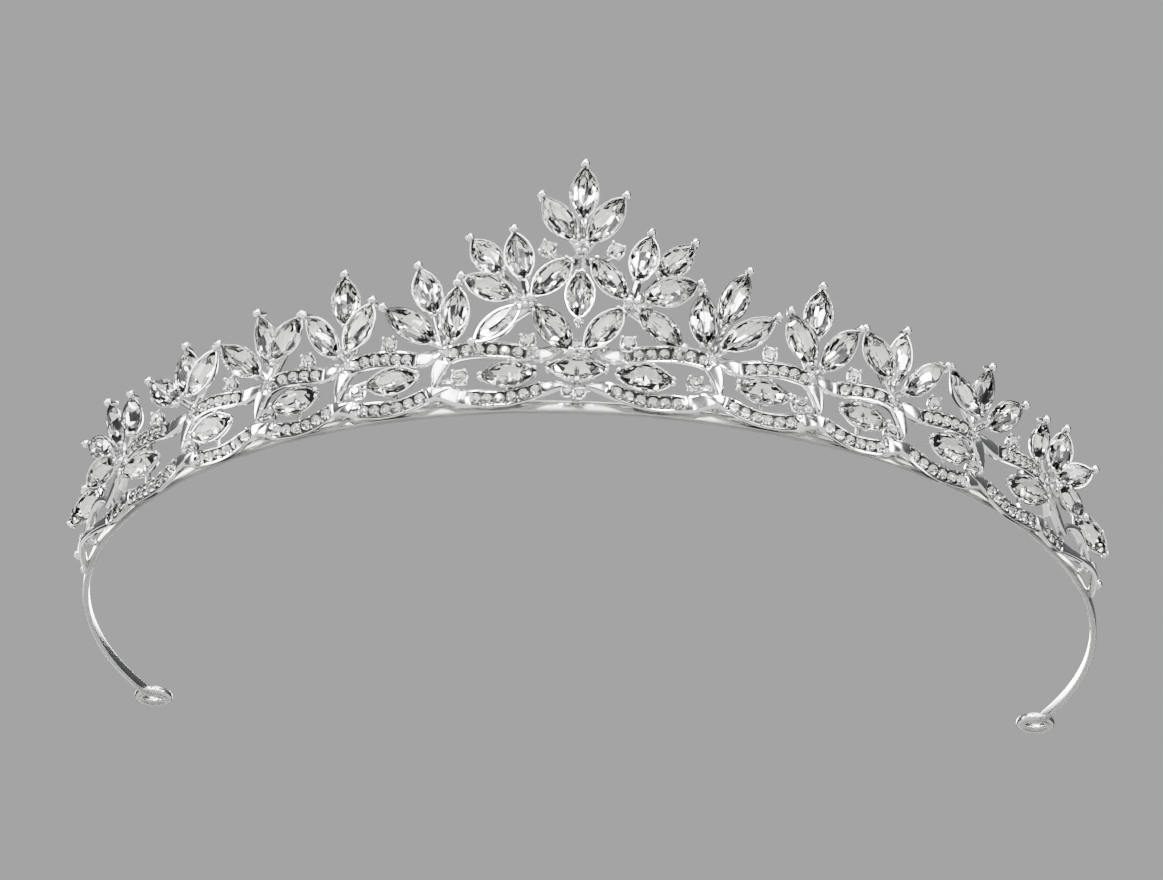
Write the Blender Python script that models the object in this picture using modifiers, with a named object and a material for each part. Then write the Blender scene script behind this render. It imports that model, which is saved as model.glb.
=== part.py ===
"""Bridal tiara: a sprung headband strip that carries an openwork lattice, stone clusters and navette stones.

The ornament is laid out flat, as a jeweller draws it, and then bent round the headband.
In that drawing, x runs along the band from its front centre, y is the height above the underside
of the band, and z is the depth outwards from the band's outer face. The drawing is in millimetres.
The finished objects are in metres, with +Z up and the front of the tiara towards -Y.
"""

import math

import bmesh
import bpy
from mathutils import Vector

MM = 0.001

# Headband strip
BAND_RADIUS = 75.0  # outer face of the hoop
BAND_THICKNESS = 0.9
BAND_HEIGHT = 1.6
BAND_HALF_LENGTH = 145.0  # along the outer face, from the front centre to each end
BAND_EDGE_BEVEL = 0.12
BAND_STEPS = 56

# Rolled eyelets at the strip's ends
EYELET_WIRE = 1.5
EYELET_PITCH_DIAMETER = 4.4

# Gaps between neighbouring solids
SOLDER_GAP = 0.3  # between metal pieces that are soldered together
STONE_GAP = 0.3  # behind a stone

# Lattice of almond eyes
LATTICE_FOOT = 0.1  # lowest point of the lattice above the underside of the band
LATTICE_HEIGHT = 9.6
RAIL_WIDTH = 2.4
RAIL_DEPTH = 1.3
EYE_END_WIDTH = 1.6  # metal between an eye's point and the end of its frame
EYE_ROUNDNESS = 2.3  # 2 is an ellipse, more is squarer
CENTRE_ROUNDNESS = 4.0
END_FRAME_LENGTH = 13.6
END_FRAME_HEIGHT = 7.2

# Stations at which flat plates are cut across before they are bent round the band
BEND_STEP = 3.0
BEND_OFFSET = 0.7

# Outward lean of the ornament, from the underside of the band upwards
LEAN = math.radians(3)

# Navette stones, with their cups
NAVETTE_LENGTH = 7.6
NAVETTE_WIDTH = 3.7
NAVETTE_KEEL = 1.3  # from the back of the cup to the girdle
NAVETTE_CROWN = 1.1  # from the girdle to the table
GIRDLE_THICKNESS = 0.25
TABLE_SHARE = 0.5  # table size as a share of the girdle
KEEL_SHARE = 0.55
SMALL_NAVETTE_LENGTH = 7.0

# The layout below is drawn for stones of one size, and opens out evenly for larger ones
LAYOUT_LENGTH, LAYOUT_WIDTH, LAYOUT_LATTICE_HEIGHT = 7.6, 3.7, 9.6
SPREAD = max(NAVETTE_LENGTH / LAYOUT_LENGTH, NAVETTE_WIDTH / LAYOUT_WIDTH)
LATTICE_TOP = LATTICE_FOOT + LATTICE_HEIGHT
JUNCTIONS = tuple(SPREAD * x for x in (17.7, 31.6, 44.6, 58.8, 75.3))  # where eyes meet

# Round stones, with their cups
ROUND_DIAMETER = 2.5
ROUND_DEPTH = 2.2

# Central flowers, as (x, height above the lattice)
TOP_FLOWER = (0.0, 12.8)
SIDE_FLOWER = (6.5, 4.9)
FLOWER_PLATE_DEPTH = 1.0
FLOWER_ARM_REACH = 4.6
FLOWER_HUB_RADIUS = 1.3
FLOWER_ARM_WIDTH = 2.0

# Petals as (angle in degrees, distance from the flower's centre to the stone's centre, stone length)
TOP_PETALS = {
    "up": (90.0, 8.0, NAVETTE_LENGTH),
    "upper_right": (53.5, 4.95, NAVETTE_LENGTH),
    "upper_left": (126.5, 4.95, NAVETTE_LENGTH),
    "lower_right": (-51.5, 5.9, NAVETTE_LENGTH),
    "lower_left": (-128.5, 5.9, NAVETTE_LENGTH),
    "down": (-90.0, 7.1, NAVETTE_LENGTH),
}
SIDE_PETALS = {
    "inner_upper": (77.5, 6.6, SMALL_NAVETTE_LENGTH),
    "outer_upper": (49.7, 8.55, SMALL_NAVETTE_LENGTH),
    "outer": (21.4, 5.5, SMALL_NAVETTE_LENGTH),
    "outer_lower": (-41.0, 5.15, NAVETTE_LENGTH),
    "inner_lower": (-128.7, 5.25, NAVETTE_LENGTH),
}

# Round stones beside the flowers, as (x, height above the lattice) on the right half
FLOWER_ROUNDS = {"upper": (4.35, 12.45), "lower": (6.4, -1.15)}

# Stones in the eyes of the lattice, as (x, height above the lattice's foot) on the right half
CENTRE_STONE_RISE = 5.0
BAND_STONES = ((8.8, 4.2), (24.4, 4.4), (38.8, 4.2), (53.2, 4.0), (69.2, 3.9))

# Side clusters, each with its hub as (x, height above the lattice) and its stones, as
# (angle in degrees, start and length from the hub). They stand in front of the lattice.
FAN_DEPTH = 2.4
FAN_HUB_RADIUS = 1.25
FAN_HUBS = ((17.5, -1.0), (31.3, -1.0), (43.6, -1.0), (58.0, -0.8), (75.1, -1.6))
FAN_STONES = (
    ((108.0, 0.6, 7.6), (72.0, 6.0, 7.0), (34.6, 1.4, 7.8)),
    ((121.0, 0.8, 7.4), (88.0, 4.9, 7.2), (50.0, 0.7, 7.8)),
    ((126.0, 1.8, 7.2), (85.0, 2.0, 7.5), (42.0, 1.0, 7.8)),
    ((137.0, 1.2, 7.4), (85.0, 1.4, 7.4), (38.3, 1.0, 7.6)),
    ((132.5, 0.6, 7.3), (79.0, 0.8, 7.3), (33.0, 0.6, 7.2), (-16.0, 0.6, 5.6)),
)
FAN_OUTLINE_STEPS = 72

# The upright stone at each far end
END_STONE = (92.5, 7.0, -48.0)  # x, y and the angle in degrees of its long axis

# Front and rear reach of the finished tiara from the hoop's centre, which place the origin
TOP_STONE_HEIGHT = LATTICE_TOP + SPREAD * (TOP_FLOWER[1] + TOP_PETALS["up"][1])
STONE_BACK = SOLDER_GAP + RAIL_DEPTH + STONE_GAP
STONE_FRONT = STONE_BACK + NAVETTE_KEEL + NAVETTE_CROWN
TOP_TABLE_TIP = TOP_STONE_HEIGHT + TABLE_SHARE * NAVETTE_LENGTH / 2
EYELET_OUTER_RADIUS = (EYELET_PITCH_DIAMETER + EYELET_WIRE) / 2
EYELET_ANGLE = (BAND_HALF_LENGTH + SOLDER_GAP + EYELET_OUTER_RADIUS) / BAND_RADIUS
EYELET_CENTRE_RADIUS = BAND_RADIUS - BAND_THICKNESS / 2
FRONT_REACH = BAND_RADIUS + STONE_FRONT + TOP_TABLE_TIP * math.tan(LEAN)
REAR_REACH = EYELET_OUTER_RADIUS - EYELET_CENTRE_RADIUS * math.cos(EYELET_ANGLE)
HOOP_CENTRE_Y = (FRONT_REACH - REAR_REACH) / 2


# Finishes as colour, metallic and roughness
SILVER_STRIP = ((0.80, 0.80, 0.79), 1.0, 0.22)
SILVER_CASTING = ((0.86, 0.86, 0.85), 1.0, 0.16)
CRYSTAL = ((0.93, 0.95, 0.96), 0.0, 0.03)


def clear_scene():
    for obj in list(bpy.data.objects):
        bpy.data.objects.remove(obj, do_unlink=True)


def make_material(name, finish):
    colour, metallic, roughness = finish
    material = bpy.data.materials.new(name)
    material.use_nodes = True
    shader = material.node_tree.nodes["Principled BSDF"]
    shader.inputs["Base Color"].default_value = (*colour, 1.0)
    shader.inputs["Metallic"].default_value = metallic
    shader.inputs["Roughness"].default_value = roughness
    return material


def bent_round_band(point):
    """Place a point of the flat drawing on the hoop, in metres."""
    along, height, depth = point
    angle = along / BAND_RADIUS
    radius = BAND_RADIUS + depth + height * math.tan(LEAN)
    x = radius * math.sin(angle)
    y = HOOP_CENTRE_Y - radius * math.cos(angle)
    return Vector((x, y, height)) * MM


def add_object(name, mesh, finish, collection):
    obj = bpy.data.objects.new(name, mesh)
    obj.data.materials.append(make_material(name, finish))
    collection.objects.link(obj)
    return obj


def bend_and_add(name, mesh, finish, collection):
    for vertex in mesh.vertices:
        vertex.co = bent_round_band(vertex.co)
    return add_object(name, mesh, finish, collection)


def cut_at_stations(shape):
    """Cut a flat plate across at even steps along the band, so that it bends evenly."""
    bmesh.ops.dissolve_limit(shape, angle_limit=0.01, verts=shape.verts, edges=shape.edges)
    places = [vertex.co.x for vertex in shape.verts]
    first, last = math.ceil(min(places) / BEND_STEP), math.floor(max(places) / BEND_STEP)
    for station in range(first, last + 1):
        geometry = shape.verts[:] + shape.edges[:] + shape.faces[:]
        plane = (station * BEND_STEP + BEND_OFFSET, 0, 0)
        bmesh.ops.bisect_plane(shape, geom=geometry, dist=0.001, plane_co=plane, plane_no=(1, 0, 0))


def flat_plate(outlines, back, front):
    """A mesh of one flat plate, from closed outlines, the first outside and the others its holes."""
    curve = bpy.data.curves.new("outline", "CURVE")
    curve.dimensions = "2D"
    curve.fill_mode = "BOTH"
    curve.extrude = (front - back) / 2
    for outline in outlines:
        spline = curve.splines.new("POLY")
        spline.points.add(len(outline) - 1)
        for point, (x, y) in zip(spline.points, outline):
            point.co = (x, y, 0.0, 1.0)
        spline.use_cyclic_u = True
    guide = bpy.data.objects.new("outline", curve)
    bpy.context.scene.collection.objects.link(guide)
    graph = bpy.context.evaluated_depsgraph_get()
    mesh = bpy.data.meshes.new_from_object(guide.evaluated_get(graph))
    bpy.data.objects.remove(guide)
    shape = bmesh.new()
    shape.from_mesh(mesh)
    bmesh.ops.remove_doubles(shape, verts=shape.verts, dist=0.001)
    bmesh.ops.translate(shape, verts=shape.verts, vec=(0, 0, (front + back) / 2))
    cut_at_stations(shape)
    bmesh.ops.recalc_face_normals(shape, faces=shape.faces)
    shape.to_mesh(mesh)
    shape.free()
    mesh.materials.clear()
    return mesh


def superellipse(centre, half_length, half_height, roundness, steps):
    points = []
    for step in range(steps):
        angle = 2 * math.pi * step / steps
        across, up = math.cos(angle), math.sin(angle)
        x = centre[0] + half_length * math.copysign(abs(across) ** (2 / roundness), across)
        y = centre[1] + half_height * math.copysign(abs(up) ** (2 / roundness), up)
        points.append((x, y))
    return points


def lens(length, width, steps):
    """Outline of a navette, two equal arcs between two points on the x axis."""
    half_length, half_width = length / 2, width / 2
    radius = (half_length**2 + half_width**2) / (2 * half_width)
    sweep = math.asin(half_length / radius)
    points = []
    for side in (1, -1):
        for step in range(steps):
            angle = sweep * (1 - 2 * step / steps)
            rise = radius * math.cos(angle) - (radius - half_width)
            points.append((side * radius * math.sin(angle), side * rise))
    return points


def hull_mesh(name, points):
    shape = bmesh.new()
    for point in points:
        shape.verts.new(point)
    bmesh.ops.convex_hull(shape, input=shape.verts)
    bmesh.ops.recalc_face_normals(shape, faces=shape.faces)
    mesh = bpy.data.meshes.new(name)
    shape.to_mesh(mesh)
    shape.free()
    return mesh


def navette(name, place, angle, length, back, collection):
    """A navette stone in its cup, at place in the drawing, with its long axis at angle in degrees."""
    girdle = back + NAVETTE_KEEL
    table = girdle + NAVETTE_CROWN
    points = []
    for x, y in lens(length, NAVETTE_WIDTH, 6):
        points.append((x, y, girdle - GIRDLE_THICKNESS))
        points.append((x, y, girdle))
        points.append((TABLE_SHARE * x, TABLE_SHARE * y, table))
        points.append((KEEL_SHARE * x, KEEL_SHARE * y, back))
    turn = math.radians(angle)
    turned = []
    for x, y, z in points:
        across = place[0] + x * math.cos(turn) - y * math.sin(turn)
        up = place[1] + x * math.sin(turn) + y * math.cos(turn)
        turned.append((across, up, z))
    return bend_and_add(name, hull_mesh(name, turned), CRYSTAL, collection)


def round_stone(name, place, back, collection):
    points = []
    sides = 10
    levels = ((back, 0.6), (back + 0.55 * ROUND_DEPTH, 1.0), (back + ROUND_DEPTH, 0.55))
    for height, share in levels:
        for side in range(sides):
            angle = 2 * math.pi * side / sides
            reach = share * ROUND_DIAMETER / 2
            x = place[0] + reach * math.cos(angle)
            y = place[1] + reach * math.sin(angle)
            points.append((x, y, height))
    return bend_and_add(name, hull_mesh(name, points), CRYSTAL, collection)


def petal_edge(turn, near, length, width):
    """Distance from a hub to the far edge of a navette petal, along a ray at turn from its axis."""
    half_length, half_width = length / 2, width / 2
    radius = (half_length**2 + half_width**2) / (2 * half_width)
    middle = near + half_length
    entries, exits = [], []
    for side in (1, -1):
        centre_x, centre_y = middle, side * (radius - half_width)
        along = centre_x * math.cos(turn) + centre_y * math.sin(turn)
        under_root = along**2 - centre_x**2 - centre_y**2 + radius**2
        if under_root < 0:
            return 0.0
        entries.append(along - math.sqrt(under_root))
        exits.append(along + math.sqrt(under_root))
    return min(exits) if min(exits) > max(entries) else 0.0


def star_outline(hub, hub_radius, petals, width, steps):
    """Outline round a hub and the petals that spread from it, each as (angle, start, length)."""
    points = []
    for step in range(steps):
        ray = 2 * math.pi * step / steps
        reach = hub_radius
        for angle, near, length in petals:
            turn = (ray - math.radians(angle) + math.pi) % (2 * math.pi) - math.pi
            if abs(turn) < math.pi / 2:
                reach = max(reach, petal_edge(turn, near, length, width))
        points.append((hub[0] + reach * math.cos(ray), hub[1] + reach * math.sin(ray)))
    return points


def mirrored(outline):
    return [(-x, y) for x, y in reversed(outline)]


def above_lattice(place):
    return (SPREAD * place[0], LATTICE_TOP + SPREAD * place[1])


def above_foot(rise):
    """Height of a stone in the lattice, which keeps its share of the lattice's height."""
    return LATTICE_FOOT + LATTICE_HEIGHT * rise / LAYOUT_LATTICE_HEIGHT


def petal_place(flower, angle, distance):
    turn = math.radians(angle)
    return above_lattice((flower[0] + distance * math.cos(turn), flower[1] + distance * math.sin(turn)))


def add_headband(collection):
    """The strip as an arc outline in plan, raised to the strip's height."""
    sweep = BAND_HALF_LENGTH / BAND_RADIUS
    angles = [sweep * (2 * step / BAND_STEPS - 1) for step in range(BAND_STEPS + 1)]
    inner = BAND_RADIUS - BAND_THICKNESS
    outline = [(BAND_RADIUS * math.sin(a), -BAND_RADIUS * math.cos(a)) for a in angles]
    outline += [(inner * math.sin(a), -inner * math.cos(a)) for a in reversed(angles)]
    mesh = flat_plate([outline], 0.0, BAND_HEIGHT)
    for vertex in mesh.vertices:
        vertex.co = (vertex.co + Vector((0, HOOP_CENTRE_Y, 0))) * MM
    band = add_object("headband", mesh, SILVER_STRIP, collection)
    bevel = band.modifiers.new("edge", "BEVEL")
    bevel.width = BAND_EDGE_BEVEL * MM
    bevel.segments = 1
    bevel.limit_method = "ANGLE"
    bevel.angle_limit = math.radians(60)
    mesh.shade_smooth()
    mesh.set_sharp_from_angle(angle=math.radians(30))


def add_eyelets(collection):
    for side, sign in (("left", -1), ("right", 1)):
        x = sign * EYELET_CENTRE_RADIUS * math.sin(EYELET_ANGLE)
        y = HOOP_CENTRE_Y - EYELET_CENTRE_RADIUS * math.cos(EYELET_ANGLE)
        bpy.ops.mesh.primitive_torus_add(
            major_segments=24,
            minor_segments=10,
            major_radius=EYELET_PITCH_DIAMETER / 2 * MM,
            minor_radius=EYELET_WIRE / 2 * MM,
            location=(x * MM, y * MM, BAND_HEIGHT / 2 * MM),
        )
        ring = bpy.context.object
        ring.name = f"eyelet_{side}"
        ring.data.materials.append(make_material(ring.name, SILVER_STRIP))
        ring.data.shade_smooth()
        for other in list(ring.users_collection):
            other.objects.unlink(ring)
        collection.objects.link(ring)


def lattice_frame(start, end, height, roundness, steps):
    """Outer and inner outline of one eye's frame, between two places along the band."""
    centre = ((start + end) / 2, LATTICE_FOOT + height / 2)
    half_length = (end - start) / 2
    outer = superellipse(centre, half_length, height / 2, roundness, steps)
    inner_half_height = height / 2 - RAIL_WIDTH
    inner = superellipse(centre, half_length - EYE_END_WIDTH, inner_half_height, roundness, steps)
    return [outer, inner]


def add_lattice(collection):
    back, front = SOLDER_GAP, SOLDER_GAP + RAIL_DEPTH
    half_gap = SOLDER_GAP / 2
    reach = JUNCTIONS[0] - half_gap
    centre = lattice_frame(-reach, reach, LATTICE_HEIGHT, CENTRE_ROUNDNESS, 56)
    bend_and_add("lattice_frame_centre", flat_plate(centre, back, front), SILVER_CASTING, collection)
    spans = [(a + half_gap, b - half_gap, LATTICE_HEIGHT) for a, b in zip(JUNCTIONS, JUNCTIONS[1:])]
    end_start = JUNCTIONS[-1] + half_gap
    spans.append((end_start, end_start + END_FRAME_LENGTH, END_FRAME_HEIGHT))
    for number, (start, end, height) in enumerate(spans, 2):
        right = lattice_frame(start, end, height, EYE_ROUNDNESS, 32)
        left = [mirrored(outline) for outline in right]
        for side, outlines in (("left", left), ("right", right)):
            name = f"lattice_frame_{side}_{number}"
            bend_and_add(name, flat_plate(outlines, back, front), SILVER_CASTING, collection)


def add_band_stones(collection):
    centre = (0.0, above_foot(CENTRE_STONE_RISE))
    navette("band_stone_centre", centre, 0.0, NAVETTE_LENGTH, STONE_BACK, collection)
    for number, (x, rise) in enumerate(BAND_STONES, 1):
        for side, sign in (("left", -1), ("right", 1)):
            place = (sign * SPREAD * x, above_foot(rise))
            name = f"band_stone_{side}_{number}"
            navette(name, place, 0.0, NAVETTE_LENGTH, STONE_BACK, collection)
    x, y, angle = END_STONE
    x *= SPREAD
    for side, sign in (("left", -1), ("right", 1)):
        name = f"end_stone_{side}"
        navette(name, (sign * x, y), sign * angle, NAVETTE_LENGTH, STONE_BACK, collection)


def flower_plate(name, centre, petals, sign, collection):
    arms = [(angle, 0.0, SPREAD * FLOWER_ARM_REACH) for angle, _, _ in petals.values()]
    hub = above_lattice(centre)
    outline = star_outline(hub, FLOWER_HUB_RADIUS, arms, FLOWER_ARM_WIDTH, FAN_OUTLINE_STEPS)
    if sign < 0:
        outline = mirrored(outline)
    mesh = flat_plate([outline], SOLDER_GAP, SOLDER_GAP + FLOWER_PLATE_DEPTH)
    bend_and_add(name, mesh, SILVER_CASTING, collection)


def add_flowers(collection):
    flower_plate("flower_plate_top", TOP_FLOWER, TOP_PETALS, 1, collection)
    for petal, (angle, distance, length) in TOP_PETALS.items():
        place = petal_place(TOP_FLOWER, angle, distance)
        navette(f"top_petal_{petal}", place, angle, length, STONE_BACK, collection)
    for side, sign in (("left", -1), ("right", 1)):
        flower_plate(f"flower_plate_{side}", SIDE_FLOWER, SIDE_PETALS, sign, collection)
        for petal, (angle, distance, length) in SIDE_PETALS.items():
            x, y = petal_place(SIDE_FLOWER, angle, distance)
            name = f"{side}_petal_{petal}"
            navette(name, (sign * x, y), sign * angle, length, STONE_BACK, collection)
        for level, place in FLOWER_ROUNDS.items():
            x, y = above_lattice(place)
            round_stone(f"round_stone_{side}_{level}", (sign * x, y), STONE_BACK, collection)


def add_fans(collection):
    """Each fan is a casting that holds its stones, so the two are one solid of the fan's full depth."""
    for number, (place, stones) in enumerate(zip(FAN_HUBS, FAN_STONES), 1):
        hub = above_lattice(place)
        petals = [(angle, SPREAD * start, SPREAD * length) for angle, start, length in stones]
        right = star_outline(hub, FAN_HUB_RADIUS, petals, NAVETTE_WIDTH, FAN_OUTLINE_STEPS)
        for side, outline in (("left", mirrored(right)), ("right", right)):
            mesh = flat_plate([outline], STONE_BACK, STONE_BACK + FAN_DEPTH)
            bend_and_add(f"cluster_{side}_{number}", mesh, SILVER_CASTING, collection)


def build():
    clear_scene()
    collection = bpy.data.collections.new("bridal_tiara")
    bpy.context.scene.collection.children.link(collection)
    add_headband(collection)
    add_eyelets(collection)
    add_lattice(collection)
    add_band_stones(collection)
    add_flowers(collection)
    add_fans(collection)


build()
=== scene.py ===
"""Bridal tiara: silver castings, crystal stones and a sprung strip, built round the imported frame.

The ornament is drawn flat, in millimetres, and laid round the hoop of the headband. In that
drawing `along` runs round the band from its front centre, `height` rises from the underside of
the band and `depth` goes outwards from the band's outer face. Finished meshes are in metres.
"""

from math import asin, atan2, ceil, copysign, cos, degrees, dist, hypot, pi, radians, sin, tan, tau

import bmesh
import bpy
from bpy.types import Operator, Panel, PropertyGroup
from mathutils import Matrix, Vector, noise


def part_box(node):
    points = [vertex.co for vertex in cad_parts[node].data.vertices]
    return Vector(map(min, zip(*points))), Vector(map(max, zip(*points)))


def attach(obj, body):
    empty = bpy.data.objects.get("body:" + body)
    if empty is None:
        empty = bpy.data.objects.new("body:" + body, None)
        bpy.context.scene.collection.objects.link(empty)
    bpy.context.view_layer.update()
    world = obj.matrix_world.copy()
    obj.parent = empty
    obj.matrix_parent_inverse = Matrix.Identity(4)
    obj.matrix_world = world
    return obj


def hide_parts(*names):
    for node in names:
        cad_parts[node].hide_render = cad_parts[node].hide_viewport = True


bl_info = {
    "name": "Bridal tiara",
    "version": (1, 0, 0),
    "blender": (4, 5, 0),
    "location": "View3D > Sidebar > Tiara",
    "description": "Builds the looks of a bridal tiara of silver castings and crystal stones",
    "category": "Object",
}

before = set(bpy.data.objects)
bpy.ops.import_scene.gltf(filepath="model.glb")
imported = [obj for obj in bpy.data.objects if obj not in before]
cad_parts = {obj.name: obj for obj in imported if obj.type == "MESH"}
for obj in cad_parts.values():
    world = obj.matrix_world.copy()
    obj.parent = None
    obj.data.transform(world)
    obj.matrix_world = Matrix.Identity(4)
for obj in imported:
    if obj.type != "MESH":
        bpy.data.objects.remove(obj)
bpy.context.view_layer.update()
STRIP_LOW, STRIP_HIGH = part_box("headband")

MM = 0.001
HOOP_RADIUS = (STRIP_HIGH.x - STRIP_LOW.x) / 2 / MM
HOOP_MIDDLE = STRIP_LOW.y / MM + HOOP_RADIUS
STRIP_HEIGHT = (STRIP_HIGH.z - STRIP_LOW.z) / MM
LEAN = radians(3)
LATTICE_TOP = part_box("lattice_frame_centre")[1].z / MM
SIDES = (("left", -1), ("right", 1))

STRIP_HALF_LENGTH = 145.0

# Depths of the layers, outwards from the band's outer face
LATTICE_BACK, LATTICE_FRONT = 0.55, 1.55
CHANNEL_DEPTH = 0.78
FLOWER_GIRDLE_DEPTH = 3.2
BAND_GIRDLE_DEPTH = 2.3
CLUSTER_GIRDLE_DEPTH = 3.0
END_GIRDLE_DEPTH = 1.5
GALLERY_DEPTH = 1.1

# Places where the almond eyes of the lattice meet, along the band
JUNCTIONS = (2.4, 17.9, 31.8, 44.8, 59.0, 75.3)

# Flowers: centre, then petals as (angle in degrees, stone length), named as the CAD nodes
TOP_FLOWER_HEIGHT = 12.8
SIDE_FLOWER = (6.5, 4.9)
TOP_PETALS = {
    "up": (90.0, 7.6),
    "upper_right": (53.5, 7.9),
    "upper_left": (126.5, 7.9),
    "lower_right": (-51.5, 7.8),
    "lower_left": (-128.5, 7.9),
    "down": (-90.0, 7.8),
}
SIDE_PETALS = {
    "inner_upper": (77.5, 7.1),
    "outer_upper": (49.7, 6.8),
    "outer": (21.4, 7.4),
    "outer_lower": (-41.0, 7.8),
    "inner_lower": (-128.7, 7.8),
}

# Side clusters on the right half: hubs, then each stone from its base to its tip, all as
# (along, height)
CLUSTER_HUBS = ((17.5, 8.7), (31.3, 8.7), (43.6, 8.7), (58.0, 8.9), (75.1, 8.1))
CLUSTER_STONES = (
    (((16.25, 8.9), (15.65, 17.0)), ((18.4, 13.0), (21.5, 20.9)), ((18.1, 9.1), (25.3, 14.4))),
    (((30.7, 9.1), (27.3, 16.0)), ((31.1, 13.4), (31.7, 20.9)), ((31.7, 8.9), (36.6, 15.4))),
    (((42.3, 10.4), (37.9, 16.1)), ((43.2, 10.3), (44.2, 17.9)), ((44.1, 9.0), (50.3, 14.6))),
    (((57.2, 9.7), (51.8, 15.0)), ((58.1, 10.3), (58.8, 17.7)), ((58.9, 9.3), (65.0, 14.3))),
    (((70.6, 8.6), (70.2, 14.3)), ((76.2, 9.6), (77.4, 16.2)), ((76.6, 8.7), (82.3, 11.8)),
     ((76.2, 8.0), (81.0, 4.6))),
)
CLUSTER_DEPTH_STEPS = (0.25, -0.5, 0.45, 0.55)  # the second stone sits behind the others

# Small round stones: in the eyes, and under the tips of the clusters
EYE_ROUNDS = ((15.4, 4.4), (29.6, 4.0), (43.5, 3.6), (58.0, 3.2))
TIP_ROUNDS = ((25.2, 10.3), (37.3, 10.0), (50.3, 10.0), (65.8, 10.0))
CENTRE_ROUNDS = ((-1.15, 2.0), (0.45, 1.75))
CENTRE_ROUND_DIAMETER = 1.5

# Solder: places of the joints along the band, and of the bead left on the left arm
SOLDER_JOINTS = (0, 8, 18.5, 25, 32.4, 39, 45.6, 52.5, 60, 68, 76.2, 83, 92)
SOLDER_BEAD = -100.0

# Stones past this place along the band turn to the front, by so many degrees for each mm
TURN_STARTS, TURN_RATE = 48.0, 0.62
END_STONE_TURN = 46

# The lower rails hang down from this place on, down to the whole drop over the given run
DROP_STARTS, DROP_RUN, WHOLE_DROP = 10, 55, 1.15

NAVETTE_FULL_LENGTH = 7.0  # a shorter navette is narrower too
BAND_NAVETTE, CENTRE_NAVETTE = 7.8, 8.2  # lengths of the stones in the eyes
GIRDLE_EDGE = 0.16
CREASE = radians(38)  # an edge sharper than this is shaded sharp


# Settings


def length_property(name, description, default_mm, least_mm, most_mm):
    return bpy.props.FloatProperty(
        name=name,
        description=description,
        default=default_mm * MM,
        min=least_mm * MM,
        max=most_mm * MM,
        unit="LENGTH",
        precision=5,
    )


def colour_property(name, description, default):
    return bpy.props.FloatVectorProperty(
        name=name, description=description, default=default, min=0.0, max=1.0, subtype="COLOR"
    )


class TIARA_PG_stones(PropertyGroup):
    navette_width: length_property("Navette width", "Width of a navette stone", 3.85, 2.0, 5.0)
    crown_height: length_property("Crown height", "Girdle to table of a navette", 0.85, 0.4, 2.0)
    back_depth: length_property("Back depth", "Girdle to keel of a navette", 1.25, 0.4, 2.0)
    round_diameter: length_property("Round stone", "Diameter of a small round stone", 2.1, 1.0, 4.0)
    pave_diameter: length_property("Pavé stone", "Diameter of a pavé stone", 1.48, 0.8, 2.0)
    crystal_colour: colour_property("Crystal", "Tint of the crystal", (0.995, 0.995, 0.985))
    foil_colour: colour_property("Foil", "Colour of the foil behind a stone", (0.97, 0.97, 0.955))


class TIARA_PG_metal(PropertyGroup):
    rail_width: length_property("Rail width", "Width of a lattice rail", 2.5, 1.0, 4.0)
    rim_width: length_property("Rim width", "Width of a rail's bright rims", 0.34, 0.1, 1.0)
    cup_wall: length_property("Cup wall", "Thickness of a stone's cup", 0.13, 0.1, 0.6)
    claw_ball: length_property("Claw ball", "Diameter of the ball on a claw", 1.2, 0.4, 2.0)
    strip_thickness: length_property("Strip thickness", "Thickness of the strip", 0.9, 0.4, 2.0)
    silver_colour: colour_property("Silver", "Colour of the castings", (0.66, 0.66, 0.65))
    strip_colour: colour_property("Strip", "Colour of the strip", (0.64, 0.64, 0.63))


class TIARA_PG_stage(PropertyGroup):
    floor_colour: colour_property("Floor", "Colour of the floor", (0.44, 0.44, 0.435))
    backdrop_colour: colour_property("Backdrop", "Colour behind the floor", (0.34, 0.34, 0.34))
    light: bpy.props.FloatProperty(
        name="Light", description="Strength of the soft lights", default=1.0, min=0.0, max=10.0
    )


def stones():
    return bpy.context.scene.tiara_stones


def metal():
    return bpy.context.scene.tiara_metal


# Mesh building


def on_hoop(along, reach, height):
    """A point at its reach from the hoop's middle, in metres."""
    turn = along / HOOP_RADIUS
    return Vector((reach * sin(turn), HOOP_MIDDLE - reach * cos(turn), height)) * MM


def bent(along, height, depth):
    """A point of the drawing, in place on the hoop, in metres."""
    return on_hoop(along, HOOP_RADIUS + depth + height * tan(LEAN), height)


def drawn(node):
    """Where the middle of a CAD node lies in the drawing, as (along, height)."""
    low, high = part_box(node)
    middle = (low + high) / 2 / MM
    turn = atan2(middle.x, HOOP_MIDDLE - middle.y)
    return turn * HOOP_RADIUS, middle.z


def seat(along, height, depth, angle=0.0, tip_forward=0.0, roll=0.0, to_front=None):
    """Place for a rigid part: x along its own long axis, y across it and z outwards.

    Towards the ends of the band a part is turned to the front by to_front degrees.
    """
    turn = along / HOOP_RADIUS
    if to_front is None:
        to_front = max(0.0, abs(along) - TURN_STARTS) * TURN_RATE
    turn -= copysign(radians(to_front), along)
    across = Vector((cos(turn), sin(turn), 0))
    up = Vector((sin(turn) * sin(LEAN), -cos(turn) * sin(LEAN), cos(LEAN)))
    out = across.cross(up)
    basis = Matrix((across, up, out)).transposed()
    own = Matrix.Rotation(radians(angle), 3, "Z")
    own = own @ Matrix.Rotation(-radians(tip_forward), 3, "Y")
    own = own @ Matrix.Rotation(radians(roll), 3, "X")
    place = (basis @ own).to_4x4()
    place.translation = bent(along, height, depth) / MM
    return place


def moved(points, place):
    return [place @ Vector(point) * MM for point in points]


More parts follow.
